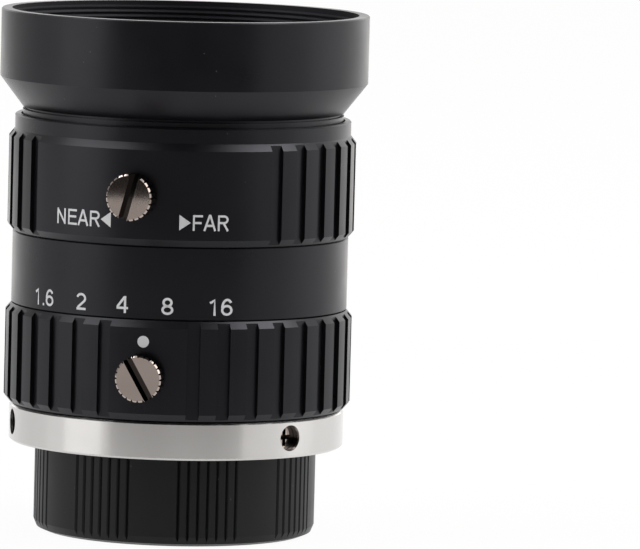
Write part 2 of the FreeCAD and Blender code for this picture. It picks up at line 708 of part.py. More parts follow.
def all_glass():
    """The five elements, from the front one back to the one behind the mount."""
    glass("front_element", FRONT_GLASS, GLASS_SEAT, FRONT_VERTEX,
          (common, "front_curve", f"{FRONT_VERTEX} - front_curve"),
          (cut, "front_rear_curve", f"{FRONT_VERTEX} - front_glass_centre - front_rear_curve"))
    second_top = f"({TUBE_TOP} - running_gap)"
    second_low = f"({second_top} - second_edge)"
    glass("second_element", CELL_GLASS, second_low, second_top,
          (cut, "second_curve", f"{second_top} - second_centre - second_curve"))
    third_top = f"({CELL_SEAT} + third_edge + {sag('third_curve', CELL_GLASS)})"
    glass("third_element", CELL_GLASS, CELL_SEAT, third_top,
          (common, "third_curve", f"{third_top} - third_curve"))
    fourth_low = f"({SHELF_LOW} - fourth_edge - {sag('fourth_curve', REAR_GLASS)})"
    glass("fourth_element", REAR_GLASS, fourth_low, SHELF_LOW,
          (common, "fourth_curve", f"{fourth_low} + fourth_curve"))
    fifth_low = f"({STEM_LOW} + seam + rear_ring_height)"
    fifth_top = f"({fifth_low} + fifth_edge + {sag('fifth_curve', REAR_GLASS)})"
    glass("fifth_element", REAR_GLASS, fifth_low, fifth_top,
          (common, "fifth_curve", f"{fifth_top} - fifth_curve"))
    front_inner = f"({CELL_GLASS} - spacer_wall)"
    third_rise = sag("third_curve", front_inner)
    spacer("front_spacer", CELL_GLASS, f"({third_top} - {third_rise} + fit_gap)", second_low)
    rear_inner = f"({REAR_GLASS} - spacer_wall)"
    fourth_rise = sag("fourth_curve", rear_inner)
    fifth_rise = sag("fifth_curve", rear_inner)
    spacer("rear_spacer", REAR_GLASS, f"({fifth_top} - {fifth_rise} + fit_gap)",
           f"({fourth_low} + {fourth_rise} - fit_gap)")


def spacer(label, outer, low, high):
    """A plain tube that keeps two elements apart."""
    inner = f"{outer} - spacer_wall"
    body = turned(label + "_body", [(inner, low), (outer, low), (outer, high), (inner, high)])
    return keep(body, label)


def rear_ring():
    """The threaded ring that holds the rear group in the tube's stem."""
    outer = f"({REAR_BORE} - seam)"
    inner = f"({outer} - rear_ring_wall)"
    low = f"({STEM_LOW} + seam)"
    high = f"({low} + rear_ring_height)"
    body = turned("RearRingBody", [(inner, low), (outer, low), (outer, high), (inner, high)])
    return keep(body, "rear_retaining_ring")


def blade(number):
    """One iris leaf: a hooked strip with a pivot pin below and a drive pin above, swung wide open."""
    name = f"Blade{number}"
    thick = "blade_thickness"
    lift = f"(seam + {number} * blade_pitch)"
    outer = f"({PIVOTS} - blade_inset)"
    inner = f"({outer} - blade_width)"
    middle = f"({outer} - blade_width / 2)"
    lag = "drive_lag_angle"

    def disc(part_name, radius, distance, angle, bottom="0", height=thick):
        piece = bind(doc.addObject("Part::Cylinder", name + part_name), Radius=radius, Height=height)
        return place(piece, f"{distance} * cos({angle})", f"{distance} * sin({angle})", bottom)

    strip = disc("_strip", outer, "0", "0")
    bind(strip, Angle="blade_start_angle + blade_reach_angle")
    place(strip, turn="-blade_start_angle")
    link = disc("_link", f"{PIVOTS} + blade_boss / 2", "0", "0")
    bind(link, Angle=lag)
    place(link, turn=f"-{lag}")
    tip = disc("_tip", "blade_width / 2", middle, "blade_reach_angle")
    pivot_boss = disc("_pivot_boss", "blade_boss", PIVOTS, "0")
    drive_boss = disc("_drive_boss", "blade_boss", PIVOTS, f"-{lag}")
    blank = joined(name + "_blank", strip, link, tip, pivot_boss, drive_boss)
    hole = disc("_hole", inner, "0", "0", f"-{thick}", f"3 * {thick}")
    leaf = cut(name + "_leaf", blank, hole)
    root = f"({lift} + pivot_depth - seam)"
    pivot = disc("_pivot", "pivot_pin / 2", PIVOTS, "0", f"-{root}", f"{root} + {thick}")
    drive = disc("_drive", "drive_pin / 2", PIVOTS, f"-{lag}", "0",
                 f"{CAM_TOP} - seam - {CHAMBER_LOW} - {lift}")
    whole = joined(name, leaf, pivot, drive)
    around = f"({number} * 360 / blade_count)"
    swung = f"({around} + {REST_SWING})"
    place(whole, f"{PIVOTS} * (cos{around} - cos{swung})", f"{PIVOTS} * (sin{around} - sin{swung})",
          f"{CHAMBER_LOW} + {lift}", swung)
    return keep(whole, f"iris_blade_{number + 1}")


def slot_arc():
    """The middle line of one cam slot: where a drive pin is, seen from the cam plate, as three points."""
    pivot = Vector(value(PIVOTS), 0, 0)
    lag = math.radians(-value("drive_lag_angle"))
    arm = Vector(pivot.x * math.cos(lag), pivot.x * math.sin(lag), 0) - pivot
    points = []
    for share in (0.0, 0.5, 1.0):
        swung = FreeCAD.Rotation(Vector(0, 0, 1), share * value("blade_swing_angle")).multVec(arm)
        back = FreeCAD.Rotation(Vector(0, 0, 1), value("open_angle") - share * value(IRIS_TURN))
        points.append(back.multVec(pivot + swung))
    return points


def cam_plate():
    """The plate over the blades: each slot moves one drive pin, and the notch takes the iris ring's peg."""
    radius = value(f"{CHAMBER} - running_gap")
    low = value(CAM_LOW)
    thick = value("cam_thickness")
    bore = value(f"{PIVOTS} - cam_inset")
    plate = Part.makeCylinder(radius, thick).cut(Part.makeCylinder(bore, thick))
    start, middle, end = slot_arc()
    path = Part.Arc(start, middle, end).toShape().Curve
    half = value("(drive_pin + cam_gap) / 2")
    centre = path.Center
    rings = Part.makeCylinder(path.Radius + half, thick, centre).cut(
        Part.makeCylinder(path.Radius - half, thick, centre))
    spokes = [point - centre for point in (start, end)]
    first, last = sorted(math.degrees(math.atan2(spoke.y, spoke.x)) for spoke in spokes)
    wedge = Part.makeCylinder(radius * 2, thick, Vector(0, 0, 0), Vector(0, 0, 1), last - first)
    wedge.rotate(Vector(0, 0, 0), Vector(0, 0, 1), first)
    wedge.translate(centre)
    slot = rings.common(wedge)
    for point in (start, end):
        slot = slot.fuse(Part.makeCylinder(half, thick, point))
    for number in range(int(value("blade_count"))):
        turned_slot = slot.copy()
        turned_slot.rotate(Vector(0, 0, 0), Vector(0, 0, 1), number * 360 / value("blade_count"))
        plate = plate.cut(turned_slot)
    width = value("peg_diameter + 2 * seam")
    depth = value("notch_depth")
    notch = Part.makeBox(width, 2 * depth, thick, Vector(-width / 2, -radius - depth, 0))
    notch.rotate(Vector(0, 0, 0), Vector(0, 0, 1), value("peg_angle"))
    part = doc.addObject("Part::Feature", "CamPlate")
    part.Shape = plate.cut(notch)
    part.Placement = FreeCAD.Placement(Vector(0, 0, low), FreeCAD.Rotation())
    return keep(part, "iris_cam_plate")


rear_cap()
mount_ring()
set_screws()
main_barrel()
iris_ring()
iris_peg()
thumbscrew("IrisKnob", IRIS_SLEEVE, "iris_knob_angle", f"{IRIS_LOW} + iris_knob_height",
           "iris_knob_lean_angle", "iris_lock_screw")
focus_ring()
thumbscrew("FocusKnob", FOCUS_SLEEVE, "focus_knob_angle", f"{FOCUS_LOW} + focus_knob_height",
           "focus_knob_lean_angle", "focus_lock_screw")
focus_retainer()
focus_key()
front_barrel()
front_hood()
front_ring()
lens_tube()
front_cell()
all_glass()
rear_ring()
for number in range(int(value("blade_count"))):
    blade(number)
cam_plate()
doc.recompute()

for part in doc.Objects:
    if "Invalid" in part.State or "Error" in part.State:
        raise ValueError(f"{part.Label} could not be made: {part.State}")
os.makedirs("parts", exist_ok=True)
for part in kept:
    if part.Shape.isNull() or not part.Shape.isValid():
        raise ValueError(f"{part.Label} has no valid shape")
    part.Shape.exportStep(f"parts/{part.Label}.step")
    box = part.Shape.BoundBox
    print(f"{part.Label}: {len(part.Shape.Solids)} solid, {part.Shape.Volume:.1f} mm3, "
          f"z {box.ZMin:.2f} to {box.ZMax:.2f}")
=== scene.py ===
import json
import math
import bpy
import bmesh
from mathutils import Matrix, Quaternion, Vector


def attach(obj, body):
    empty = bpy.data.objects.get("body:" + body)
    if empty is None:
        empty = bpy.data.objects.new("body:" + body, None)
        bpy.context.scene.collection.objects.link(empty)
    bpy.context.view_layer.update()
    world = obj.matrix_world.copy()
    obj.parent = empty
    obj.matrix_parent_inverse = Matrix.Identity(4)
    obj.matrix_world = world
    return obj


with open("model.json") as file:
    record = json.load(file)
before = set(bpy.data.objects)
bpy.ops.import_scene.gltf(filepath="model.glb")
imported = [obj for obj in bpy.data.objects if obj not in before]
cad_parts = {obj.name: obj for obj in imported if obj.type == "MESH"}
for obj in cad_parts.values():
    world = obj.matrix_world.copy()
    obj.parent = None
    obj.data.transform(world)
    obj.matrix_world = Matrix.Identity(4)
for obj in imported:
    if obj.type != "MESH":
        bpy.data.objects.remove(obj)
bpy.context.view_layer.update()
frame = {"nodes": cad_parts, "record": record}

# %% [markdown]
# # A machine vision lens, dressed
# The construction of the lens arrives as a fixed frame: each piece is already at its real size and place.
# What is left for this lesson is the finish of each surface, the printed marks, the fine threads and the
# light.

MM = 0.001
nodes = frame["nodes"]

# %% [markdown]
# ## The camera
# The photograph was taken from far away with a long lens, so the rings keep their widths from top to bottom.
# A camera could be placed by eye. Here it comes from measured facts instead: how far off it stands, how high,
# where in the picture the middle of the lens lies, and how much the picture leans.

# %% Camera
PICTURE = (640, 549)
FOCAL_PX = 7350.0
DISTANCE = 745 * MM
ELEVATION = math.radians(5.4)
LEAN = math.radians(1.4)
MIDDLE_PX = (179.7, 270.0)
MIDDLE = Vector((0, 0, 26.47 * MM))
SENSOR = 36.0


def photo_camera():
    """A camera that sees the middle of the lens where the photograph shows it."""
    across = MIDDLE_PX[0] - PICTURE[0] / 2
    up = PICTURE[1] / 2 - MIDDLE_PX[1]
    level_across = across * math.cos(LEAN) - up * math.sin(LEAN)
    level_up = across * math.sin(LEAN) + up * math.cos(LEAN)
    place = MIDDLE + DISTANCE * Vector((0, -math.cos(ELEVATION), math.sin(ELEVATION)))
    aim = (MIDDLE - place).to_track_quat("-Z", "Y")
    yaw = Quaternion((0, 1, 0), math.atan(level_across / FOCAL_PX))
    pitch = Quaternion((1, 0, 0), -math.atan(level_up / FOCAL_PX))
    data = bpy.data.cameras.new("photo_camera")
    data.sensor_width = SENSOR
    data.lens = FOCAL_PX * SENSOR / PICTURE[0]
    data.clip_start = 0.01
    camera = bpy.data.objects.new("photo_camera", data)
    camera.location = place
    camera.rotation_mode = "QUATERNION"
    camera.rotation_quaternion = aim @ yaw @ pitch @ Quaternion((0, 0, 1), LEAN)
    bpy.context.scene.collection.objects.link(camera)
    bpy.context.scene.camera = camera
    return camera


camera = photo_camera()
print("camera at", [round(c, 4) for c in camera.location], "with a", round(camera.data.lens, 1), "mm lens")

# %% [markdown]
# ## Node helpers
# A material is a small network. A short helper that makes a node, sets its values and joins its inputs
# keeps each network readable as one line per node.

# %% Node helpers


def node(tree, kind, inputs=(), **settings):
    """A new node of a kind, its settings made, and each input given a value or a socket to read."""
    made = tree.nodes.new(kind)
    for name, setting in settings.items():
        setattr(made, name, setting)
    for name, source in dict(inputs).items():
        if isinstance(source, bpy.types.NodeSocket):
            tree.links.new(source, made.inputs[name])
        else:
            made.inputs[name].default_value = source
    return made


def maths(tree, operation, *sources):
    """The value output of a math node that works on numbers or sockets."""
    return node(tree, "ShaderNodeMath", dict(enumerate(sources)), operation=operation).outputs[0]


def group(name, inputs, outputs):
    """An empty shader node group with named number inputs and named outputs."""
    tree = bpy.data.node_groups.new(name, "ShaderNodeTree")
    for label, default in inputs:
        socket = tree.interface.new_socket(label, in_out="INPUT", socket_type="NodeSocketFloat")
        socket.default_value = default
    for label, kind in outputs:
        tree.interface.new_socket(label, in_out="OUTPUT", socket_type=kind)
    return tree, tree.nodes.new("NodeGroupInput"), tree.nodes.new("NodeGroupOutput")


def material(name):
    """A new material and its tree, with only a Principled shader and the output."""
    made = bpy.data.materials.new(name)
    made.use_nodes = True
    tree = made.node_tree
    return made, tree, tree.nodes["Principled BSDF"]


def use_group(tree, made_group, **values):
    """A node group placed in a material, its values set by name, with underscores for spaces."""
    placed = tree.nodes.new("ShaderNodeGroup")
    placed.node_tree = made_group
    for label, number in values.items():
        placed.inputs[label.replace("_", " ")].default_value = number
    return placed


print("helpers ready")

# %% [markdown]
# ## Turned metal
# A ring that comes off a lathe carries fine rings of tool marks about its axis. They could be bump on a
# stretched texture map, but a turned piece has no map. Instead the group measures each point's distance from
# the axis and its height. Noise is read along the height on a wall and along the distance on a flat face,
# so that every mark closes on itself.
# A little fine grain is mixed in, as bead blasting leaves before the black is dyed in.

# %% Group: turned marks
FLAT_FROM = 0.7
TONE_SCALE = 160.0
DUST_SCALE = 1600.0
DUST_SIZE = 0.075


def cylinder_place(tree):
    """The object's own point, its distance from the lens axis, and its height."""
    where = node(tree, "ShaderNodeTexCoord").outputs["Object"]
    parts = node(tree, "ShaderNodeSeparateXYZ", {"Vector": where})
    x, y, z = parts.outputs
    square = maths(tree, "ADD", maths(tree, "MULTIPLY", x, x), maths(tree, "MULTIPLY", y, y))
    return where, maths(tree, "SQRT", square), z


def per_metre(tree, number):
    """A group's number per millimetre as one per metre."""
    return maths(tree, "MULTIPLY", number, 1 / MM)


def in_metres(tree, number):
    """A group's length in millimetres as one in metres."""
    return maths(tree, "MULTIPLY", number, MM)


def turned_marks():
    """Height of lathe marks and grain about the Z axis, a slow change of tone, and sparse dust."""
    tree, given, out = group("turned_marks", [
        ("Marks per mm", 9.0), ("Grain per mm", 14.0), ("Grain share", 0.4), ("Dust share", 0.0),
    ], [("Height", "NodeSocketFloat"), ("Tone", "NodeSocketFloat"), ("Dust", "NodeSocketFloat")])
    where, radius, z = cylinder_place(tree)
    facing = node(tree, "ShaderNodeTexCoord").outputs["Normal"]
    upright = node(tree, "ShaderNodeSeparateXYZ", {"Vector": facing})
    flat = maths(tree, "GREATER_THAN", maths(tree, "ABSOLUTE", upright.outputs["Z"]), FLAT_FROM)
    place = node(tree, "ShaderNodeMix", {"Factor": flat, "A": z, "B": radius}, data_type="FLOAT")
    along = node(tree, "ShaderNodeCombineXYZ", {
        "X": maths(tree, "MULTIPLY", place.outputs[0], per_metre(tree, given.outputs["Marks per mm"])),
    })
    marks = node(tree, "ShaderNodeTexNoise", {"Vector": along.outputs[0], "Scale": 1.0, "Detail": 2.0})
    grain = node(tree, "ShaderNodeTexNoise", {
        "Vector": where, "Scale": per_metre(tree, given.outputs["Grain per mm"]), "Detail": 1.0,
    })
    share = given.outputs["Grain share"]
    height = maths(tree, "ADD", maths(tree, "MULTIPLY", grain.outputs[0], share),
                   maths(tree, "MULTIPLY", marks.outputs[0], maths(tree, "SUBTRACT", 1.0, share)))
    tone = node(tree, "ShaderNodeTexNoise", {"Vector": where, "Scale": TONE_SCALE, "Detail": 3.0})
    cells = node(tree, "ShaderNodeTexVoronoi", {"Vector": where, "Scale": DUST_SCALE})
    picked = node(tree, "ShaderNodeSeparateColor", {"Color": cells.outputs["Color"]})
    chosen = maths(tree, "LESS_THAN", picked.outputs[0], given.outputs["Dust share"])
    small = maths(tree, "LESS_THAN", cells.outputs["Distance"], DUST_SIZE)
    dust = maths(tree, "MULTIPLY", chosen, small)
    tree.links.new(height, out.inputs["Height"])
    tree.links.new(tone.outputs[0], out.inputs["Tone"])
    tree.links.new(dust, out.inputs["Dust"])
    return tree


TURNED = turned_marks()
print("group", TURNED.name, "puts out",
      [item.name for item in TURNED.interface.items_tree if item.in_out == "OUTPUT"])

# %% [markdown]
# ## Threads as bump
# The mount thread hides under the cap until the cap is pulled off. Cutting a helix would take thousands of
# faces for a strip that is seldom seen. A wave along the height, shifted by the angle about the axis, has
# the same pitch and the same slope, and it is switched on only on the thread's own cylinder.

# %% Group: screw thread
THREAD_NEARNESS = 0.04 * MM


def screw_thread():
    """Height of a right-hand thread of a given pitch, on a cylinder of a given radius only."""
    tree, given, out = group("screw_thread", [
        ("Pitch mm", 0.794), ("Radius mm", 12.7), ("Low mm", 5.4), ("High mm", 9.0),
    ], [("Height", "NodeSocketFloat"), ("Mask", "NodeSocketFloat")])
    where, radius, z = cylinder_place(tree)
    parts = node(tree, "ShaderNodeSeparateXYZ", {"Vector": where})
    angle = maths(tree, "ARCTAN2", parts.outputs["Y"], parts.outputs["X"])
    turns = maths(tree, "DIVIDE", angle, 2 * math.pi)
    climbed = maths(tree, "DIVIDE", z, in_metres(tree, given.outputs["Pitch mm"]))
    wave = maths(tree, "PINGPONG", maths(tree, "SUBTRACT", climbed, turns), 0.5)
    wall = in_metres(tree, given.outputs["Radius mm"])
    off = maths(tree, "ABSOLUTE", maths(tree, "SUBTRACT", radius, wall))
    on_wall = maths(tree, "LESS_THAN", off, THREAD_NEARNESS)
    above = maths(tree, "GREATER_THAN", z, in_metres(tree, given.outputs["Low mm"]))
    below = maths(tree, "LESS_THAN", z, in_metres(tree, given.outputs["High mm"]))
    mask = maths(tree, "MULTIPLY", on_wall, maths(tree, "MULTIPLY", above, below))
    tree.links.new(maths(tree, "MULTIPLY", wave, mask), out.inputs["Height"])
    tree.links.new(mask, out.inputs["Mask"])
    return tree


THREAD = screw_thread()
print("group", THREAD.name, "made")

# %% [markdown]
# ## Metals and the black finish
# The barrel is aluminium with a black satin anodised skin: not bare metal to the eye, but a dark, slightly
# rough coat with a soft shine. The mount ring is bright plated brass, turned very finely, and the thumbscrews
# are nickel, a shade warmer. All use the turned marks at their own scale.

# %% Metals
TONE_RANGE = (0.3, 0.7)
DUST_COLOUR = (0.1, 0.1, 0.1, 1)
MOUTH_RADIUS = 17.56 * MM
MOUTH_FOOT = 46 * MM
MOUTH_ROUGHNESS = 0.6


def dress(tree, shader, marks, depth, rough, colours, thread_cut=None):
    """Joins turned marks to a shader: bump of a depth in metres, and roughness and colour that go by tone."""
    bump = node(tree, "ShaderNodeBump", {
        "Height": marks.outputs["Height"], "Strength": 1.0, "Distance": depth,
    })
    if thread_cut:
        thread, thread_depth = thread_cut
        bump = node(tree, "ShaderNodeBump", {
            "Height": thread.outputs["Height"], "Strength": 1.0, "Distance": thread_depth,
            "Normal": bump.outputs[0],
        })
    tree.links.new(bump.outputs[0], shader.inputs["Normal"])
    roughness = node(tree, "ShaderNodeMapRange", {
        "Value": marks.outputs["Tone"], "From Min": TONE_RANGE[0], "From Max": TONE_RANGE[1],
        "To Min": rough[0], "To Max": rough[1],
    })
    tree.links.new(roughness.outputs[0], shader.inputs["Roughness"])
    tint = node(tree, "ShaderNodeMix", {
        0: marks.outputs["Tone"], 6: (*colours[0], 1), 7: (*colours[1], 1),
    }, data_type="RGBA")
    dusty = node(tree, "ShaderNodeMix", {
        0: marks.outputs["Dust"], 6: tint.outputs[2], 7: DUST_COLOUR,
    }, data_type="RGBA")
    tree.links.new(dusty.outputs[2], shader.inputs["Base Color"])
    return dusty.outputs[2]


def black_anodised():
    """Black satin anodised aluminium, matt in the hood's mouth, where it keeps stray light out."""
    made, tree, shader = material("black_anodised")
    marks = use_group(tree, TURNED, Marks_per_mm=7.0, Grain_per_mm=11.0, Grain_share=0.55, Dust_share=0.02)
    dress(tree, shader, marks, 0.0014 * MM, (0.27, 0.35), ((0.0025, 0.0025, 0.0032), (0.005, 0.005, 0.006)))
    shader.inputs["Specular IOR Level"].default_value = 0.285
    shader.inputs["Specular Tint"].default_value = (0.9, 0.9, 1.0, 1)
    _, radius, z = cylinder_place(tree)
    inside = maths(tree, "MULTIPLY", maths(tree, "LESS_THAN", radius, MOUTH_RADIUS),
                   maths(tree, "GREATER_THAN", z, MOUTH_FOOT))
    plain = shader.inputs["Roughness"].links[0].from_socket
    matt = maths(tree, "MAXIMUM", plain, maths(tree, "MULTIPLY", inside, MOUTH_ROUGHNESS))
    tree.links.new(matt, shader.inputs["Roughness"])
    return made


MOUNT_RADIUS = nodes["mount_ring"].dimensions.x / 2
MOUNT_FOOT = 9.05 * MM
# Painted shade down in the mount ring's screw holes: inside the lip the colour keeps a tenth.
HOLE_LIP = 0.3 * MM
HOLE_SHADE = 0.9


def bright_ring():
    """Satin chrome with very fine lathe marks, a painted reflection in soft upright stripes, and painted
    shade down in its screw holes.
    """
    made, tree, shader = material("bright_metal")
    marks = use_group(tree, TURNED, Marks_per_mm=4.5, Grain_per_mm=20.0, Grain_share=0.0, Dust_share=0.0)
    thread = use_group(tree, THREAD, Pitch_mm=0.794, Radius_mm=12.7, Low_mm=5.4, High_mm=9.0)
    plain = dress(tree, shader, marks, 0.0012 * MM, (0.18, 0.22), ((0.6, 0.585, 0.57), (0.65, 0.635, 0.62)),
                  (thread, 0.4 * MM))
    where, radius, z = cylinder_place(tree)
    # Painted reflection: soft upright stripes about the axis, a little darker and brighter than plain, where
    # studio boxes would show.
    flat = node(tree, "ShaderNodeVectorMath", {0: where, 1: (1.0, 1.0, 0.0)}, operation="MULTIPLY")
    painted_reflection_bands = node(tree, "ShaderNodeTexNoise", {"Vector": flat.outputs[0], "Scale": 95.0, "Detail": 1.0})
    shade = node(tree, "ShaderNodeMapRange", {
        "Value": painted_reflection_bands.outputs[0], "From Min": 0.38, "From Max": 0.62, "To Min": 0.9, "To Max": 1.03,
    })
    # Painted shade down in the screw holes.
    within = maths(tree, "LESS_THAN", radius, MOUNT_RADIUS - HOLE_LIP)
    above = maths(tree, "GREATER_THAN", z, MOUNT_FOOT + HOLE_LIP)
    in_hole = maths(tree, "MULTIPLY", within, above)
    hole_painted_shade = maths(tree, "SUBTRACT", 1.0, maths(tree, "MULTIPLY", in_hole, HOLE_SHADE))
    # The plain colour scaled by the painted reflection and the painted shade in the holes.
    painted_reflection_and_shade_colour = node(tree, "ShaderNodeVectorMath", {0: plain}, operation="SCALE")
    tree.links.new(maths(tree, "MULTIPLY", shade.outputs[0], hole_painted_shade), painted_reflection_and_shade_colour.inputs["Scale"])
    tree.links.new(painted_reflection_and_shade_colour.outputs[0], shader.inputs["Base Color"])
    shader.inputs["Metallic"].default_value = 1.0
    shader.inputs["Anisotropic"].default_value = 0.85
    shader.inputs["Anisotropic Rotation"].default_value = 0.25
    around = node(tree, "ShaderNodeTangent", {}, direction_type="RADIAL", axis="Z")
    tree.links.new(around.outputs[0], shader.inputs["Tangent"])
    return made


def slot_shade():
    """A mask of a thumbscrew's slot for painted shade, 0 inside it and 1 elsewhere, for the screw's angle,
    height and lean.
    """
    tree, given, out = group("slot_shade", [
        ("Angle", 0.0), ("Height mm", 0.0), ("Lean", 0.0), ("Half width mm", 0.46), ("Reach mm", 2.6),
    ], [("Clear", "NodeSocketFloat")])
    where = node(tree, "ShaderNodeTexCoord").outputs["Object"]
    parts = node(tree, "ShaderNodeSeparateXYZ", {"Vector": where})
    angle, lean = given.outputs["Angle"], given.outputs["Lean"]
    across = maths(tree, "ADD", maths(tree, "MULTIPLY", parts.outputs["X"], maths(tree, "COSINE", angle)),
                   maths(tree, "MULTIPLY", parts.outputs["Y"], maths(tree, "SINE", angle)))
    up = maths(tree, "SUBTRACT", parts.outputs["Z"], in_metres(tree, given.outputs["Height mm"]))
    aside = maths(tree, "ADD", maths(tree, "MULTIPLY", across, maths(tree, "COSINE", lean)),
                  maths(tree, "MULTIPLY", up, maths(tree, "SINE", lean)))
    away = maths(tree, "GREATER_THAN", maths(tree, "ABSOLUTE", aside),
                 in_metres(tree, given.outputs["Half width mm"]))
    far = maths(tree, "GREATER_THAN", maths(tree, "ABSOLUTE", up), in_metres(tree, given.outputs["Reach mm"]))
    tree.links.new(maths(tree, "MAXIMUM", away, far), out.inputs["Clear"])
    return tree


# Each thumbscrew: its angle from -Y, its height in mm and its slot's lean.
IRIS_SCREW = (-11.3, 17.35, 30.0)
FOCUS_SCREW = (-15.3, 35.3, -15.0)
THUMBSCREW_FOOT = 17.2 * MM
# Painted shade: the share of the plain colour left inside a thumbscrew's slot.
SLOT_SHADE = 0.1
# Radii between which the painted shade round the set screws turns into a painted highlight on their faces.
SET_SCREW_PIT = 15.3 * MM
SET_SCREW_TOP = 16.2 * MM
SLOT = slot_shade()


def nickel():
    """Bright nickel plate, with painted shade in the thumbscrews' slots and down round the set screws, and a
    painted highlight on the set screws' faces.
    """
    made, tree, shader = material("nickel")
    marks = use_group(tree, TURNED, Marks_per_mm=10.0, Grain_per_mm=18.0, Grain_share=0.8, Dust_share=0.0)
    plain = dress(tree, shader, marks, 0.00005 * MM, (0.02, 0.05), ((0.39, 0.325, 0.295), (0.47, 0.4, 0.365)))
    low, high = (
        use_group(tree, SLOT, Angle=math.radians(angle), Height_mm=height, Lean=math.radians(lean))
        for angle, height, lean in (IRIS_SCREW, FOCUS_SCREW)
    )
    # Painted shade in the thumbscrews' slots.
    clear = maths(tree, "MULTIPLY", low.outputs["Clear"], high.outputs["Clear"])
    slotted = maths(tree, "ADD", maths(tree, "MULTIPLY", clear, 1 - SLOT_SHADE), SLOT_SHADE)
    _, radius, _ = cylinder_place(tree)
    # Painted shade deep round the set screws, rising to a painted highlight a quarter brighter than plain on
    # their faces.
    painted_pit_light_and_shade = node(tree, "ShaderNodeMapRange", {
        "Value": radius, "From Min": SET_SCREW_PIT, "From Max": SET_SCREW_TOP, "To Min": 0.08, "To Max": 1.25,
    })
    outer = maths(tree, "GREATER_THAN", radius, THUMBSCREW_FOOT)
    shade = maths(tree, "ADD", maths(tree, "MULTIPLY", outer, slotted),
                  maths(tree, "MULTIPLY", maths(tree, "SUBTRACT", 1.0, outer), painted_pit_light_and_shade.outputs[0]))
    # The plain colour scaled by the painted shade and the painted highlight.
    painted_light_and_shade_colour = node(tree, "ShaderNodeVectorMath", {0: plain}, operation="SCALE")
    tree.links.new(shade, painted_light_and_shade_colour.inputs["Scale"])
    tree.links.new(painted_light_and_shade_colour.outputs[0], shader.inputs["Base Color"])
    shader.inputs["Metallic"].default_value = 1.0
    return made


def ground_steel():
    """Plain ground steel of the inner pins and the cam plate."""
    made, tree, shader = material("steel")
    marks = use_group(tree, TURNED, Marks_per_mm=8.0, Grain_per_mm=10.0, Grain_share=0.3, Dust_share=0.0)
    dress(tree, shader, marks, 0.001 * MM, (0.25, 0.35), ((0.5, 0.5, 0.5), (0.6, 0.6, 0.6)))
    shader.inputs["Metallic"].default_value = 1.0
    return made


def blackened_steel():
    """The thin blackened steel of the iris blades."""
    made, tree, shader = material("blackened_steel")
    marks = use_group(tree, TURNED, Marks_per_mm=6.0, Grain_per_mm=12.0, Grain_share=0.6, Dust_share=0.0)
    dress(tree, shader, marks, 0.0008 * MM, (0.35, 0.45), ((0.05, 0.05, 0.055), (0.08, 0.08, 0.085)))
    shader.inputs["Metallic"].default_value = 0.8
    return made


def moulded_black():
    """The cap's moulded plastic: a touch glossier than the metal, with a faint mottle."""
    made, tree, shader = material("black_plastic")
    marks = use_group(tree, TURNED, Marks_per_mm=2.0, Grain_per_mm=6.0, Grain_share=0.95, Dust_share=0.03)
    dress(tree, shader, marks, 0.0018 * MM, (0.34, 0.42), ((0.0035, 0.0035, 0.004), (0.006, 0.006, 0.0065)))
    shader.inputs["Specular IOR Level"].default_value = 0.21
    return made


def coated_glass():
    """Optical glass with a thin coating that tints its reflections."""
    made, tree, shader = material("coated_glass")
    tone = node(tree, "ShaderNodeTexNoise", {"Scale": 90.0, "Detail": 1.0})
    smooth = node(tree, "ShaderNodeMapRange", {"Value": tone.outputs[0], "To Min": 0.0, "To Max": 0.015})
    tree.links.new(smooth.outputs[0], shader.inputs["Roughness"])
    tint = node(tree, "ShaderNodeMix", {
        0: tone.outputs[0], 6: (0.965, 0.98, 1.0, 1), 7: (0.975, 0.99, 1.0, 1),
    }, data_type="RGBA")
    tree.links.new(tint.outputs[2], shader.inputs["Base Color"])
    shader.inputs["Transmission Weight"].default_value = 1.0
    shader.inputs["IOR"].default_value = 1.62
    shader.inputs["Thin Film Thickness"].default_value = 330.0
    shader.inputs["Thin Film IOR"].default_value = 1.38
    return made


def printing_ink():
    """Pale grey ink, a little uneven."""
    made, tree, shader = material("printing_ink")
    marks = use_group(tree, TURNED, Marks_per_mm=3.0, Grain_per_mm=9.0, Grain_share=0.9, Dust_share=0.0)
    dress(tree, shader, marks, 0.001 * MM, (0.5, 0.6), ((0.42, 0.42, 0.43), (0.6, 0.6, 0.61)))
    return made


INK = printing_ink()
FINISHES = {
    "black_anodised": black_anodised(),
    "bright_metal": bright_ring(),
    "nickel": nickel(),
    "steel": ground_steel(),
    "blackened_steel": blackened_steel(),
    "black_plastic": moulded_black(),
    "coated_glass": coated_glass(),
}
print(len(FINISHES), "finishes made; the mount ring's radius is", round(MOUNT_RADIUS / MM, 2), "mm")

# %% [markdown]
# ## Dressing the pieces
# The record names a material slot for every piece. Each piece keeps its mesh and only gets the finish of
# its slot.

# %% Finishes on the pieces
for entry in frame["record"]["subparts"]:
    for place in nodes[entry["node"]].material_slots:
        place.material = FINISHES[entry["material_slot"]]

# %% [markdown]
# ## Printing on a round barrel
# The marks are printed, so they are as thin as ink. A flat sheet of letters would stand off a barrel at both
# ends. Each letter is drawn with a pen of even width along a few lines and arcs, and then every point is
# wound round the barrel: the distance across becomes an angle about the axis, and the height stays a height.

# %% Letters drawn with a pen
PEN = 0.14
HALF_PEN = PEN / 2
CURVE_STEPS = 14
CORNER_LIMIT = 0.55
CLOSE = 1e-6


def arc(x, y, across, up, start, end):
    """Points along a part of an ellipse about a middle, between two angles in degrees."""
    count = max(4, round(CURVE_STEPS * abs(end - start) / 180))
    turns = [math.radians(start + (end - start) * n / count) for n in range(count + 1)]
    return [(x + across * math.cos(t), y + up * math.sin(t)) for t in turns]


